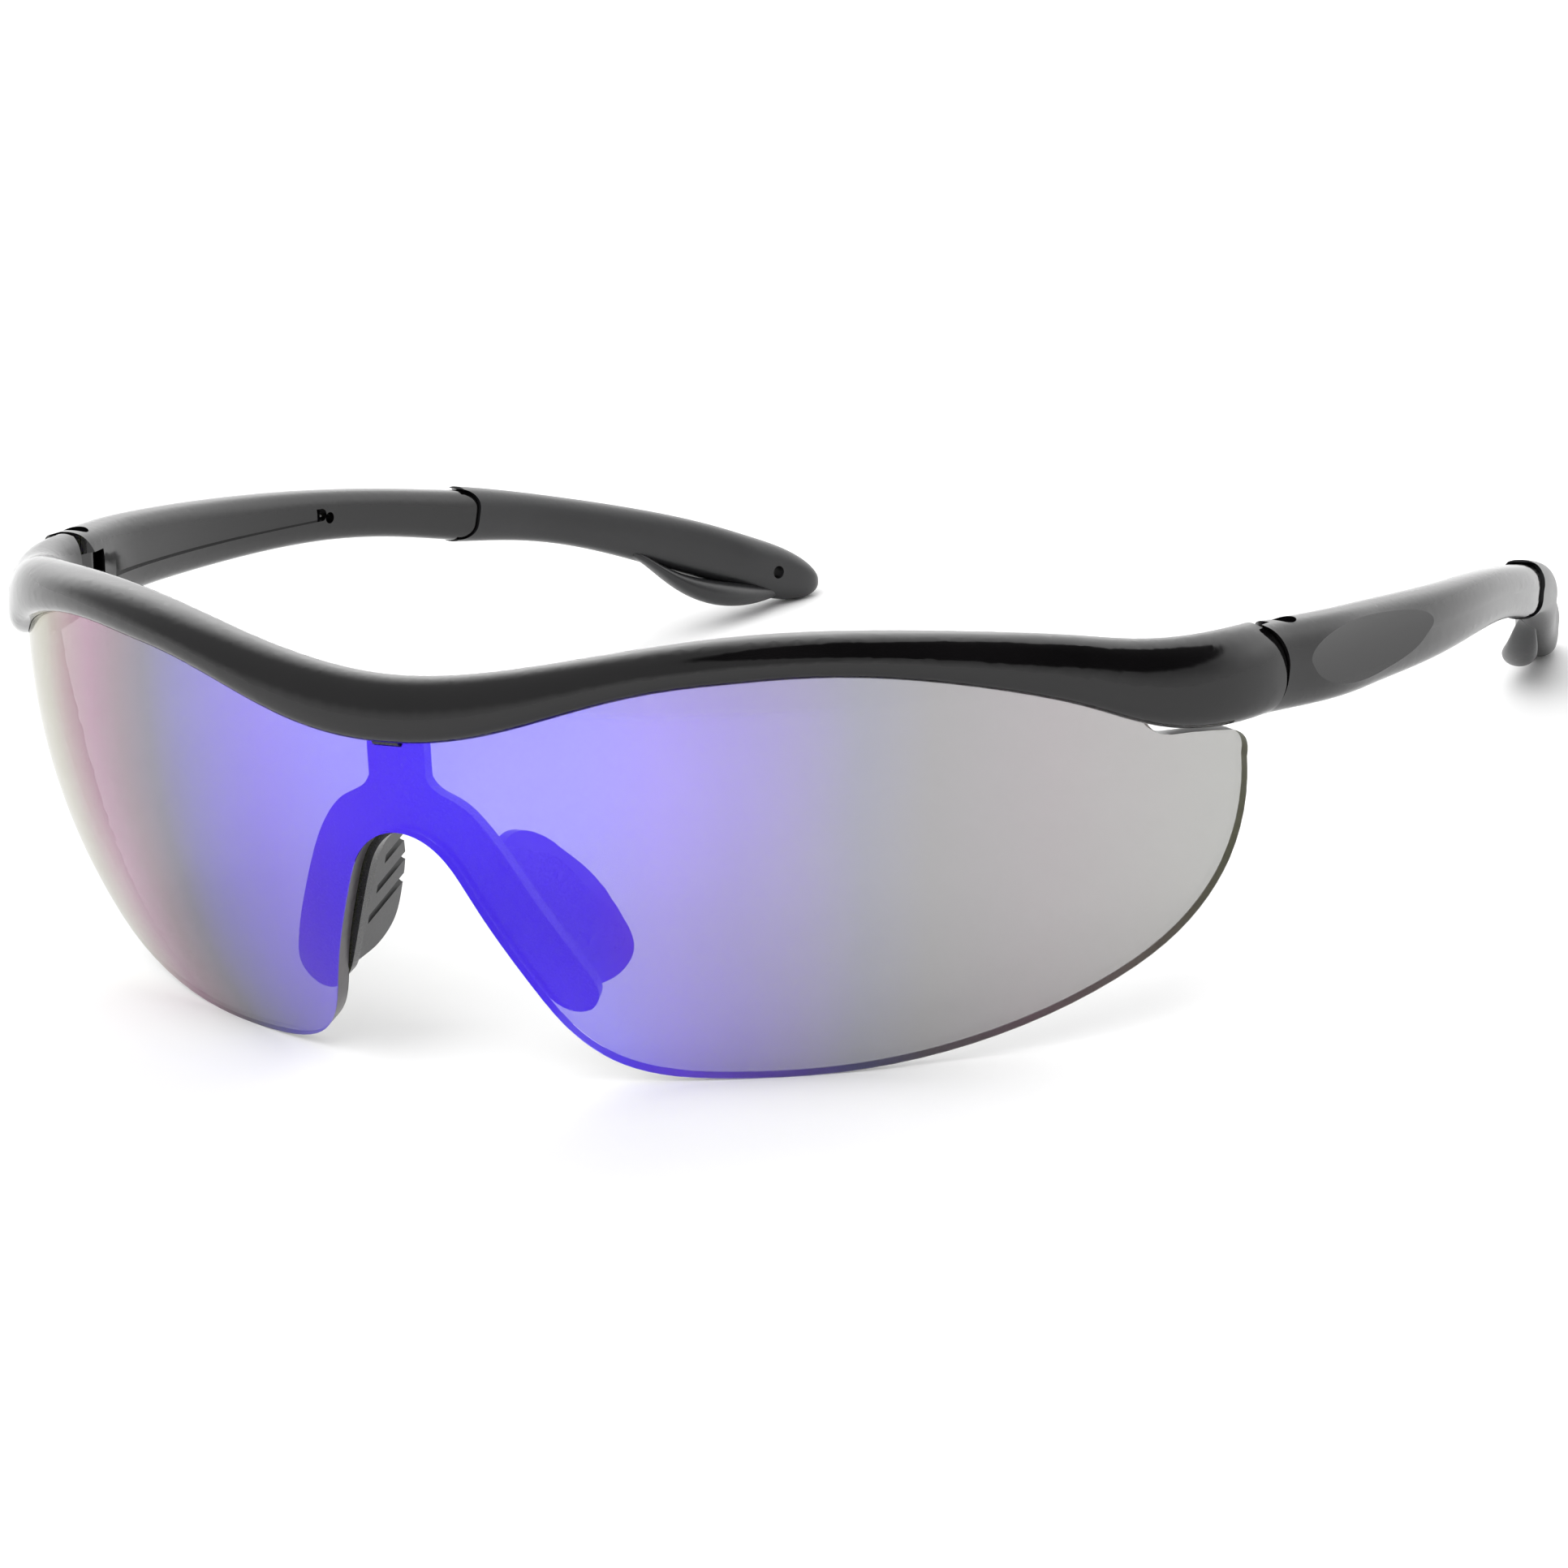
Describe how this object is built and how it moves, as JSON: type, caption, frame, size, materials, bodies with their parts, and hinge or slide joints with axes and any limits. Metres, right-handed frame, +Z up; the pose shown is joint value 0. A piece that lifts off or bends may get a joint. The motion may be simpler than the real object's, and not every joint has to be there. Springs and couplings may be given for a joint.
{
  "type": "wraparound sport sunglasses",
  "caption": "Semi-rimless wraparound sport sunglasses: one mirrored shield lens under a brow bar, a clip-in nose bridge with pads, and folding temples with rubber tips.",
  "frame": {"origin": "centre of the underside of the bounding box, on the surface that the lens lobes and the temple tips stand on, with the temples open", "axes": "+X to the wearer's left, +Y from the lens towards the ears, +Z up from the surface it stands on; the lens faces -Y"},
  "size_m": [0.1444, 0.1526, 0.0441],
  "materials": {
    "frame_gloss": "gloss",
    "lens_violet": "polished",
    "bridge_plastic": "satin",
    "pad_rubber": "matte",
    "tip_rubber": "matte",
    "screw_steel": "satin",
    "insert_brass": "satin"
  },
  "bodies": {
    "front": {"brow_bar": "frame_gloss", "shield_lens": "lens_violet", "nose_bridge": "bridge_plastic", "nose_pad_left": "pad_rubber", "nose_pad_right": "pad_rubber"},
    "temple_left": {"temple_arm_left": "frame_gloss", "temple_tip_left": "tip_rubber", "hinge_screw_left": "screw_steel", "hinge_insert_left": "insert_brass"},
    "temple_right": {"temple_arm_right": "frame_gloss", "temple_tip_right": "tip_rubber", "hinge_screw_right": "screw_steel", "hinge_insert_right": "insert_brass"}
  },
  "joints": [
    {"name": "temple_left_fold", "type": "hinge", "parent": "front", "child": "temple_left", "pos_m": [0.0678, -0.02743, 0.03265], "axis": [0, 0.1368, 0.9906], "range_deg": [0, 84]},
    {"name": "temple_right_fold", "type": "hinge", "parent": "front", "child": "temple_right", "pos_m": [-0.0678, -0.02743, 0.03265], "axis": [0, -0.1368, -0.9906], "range_deg": [0, 70]}
  ]
}
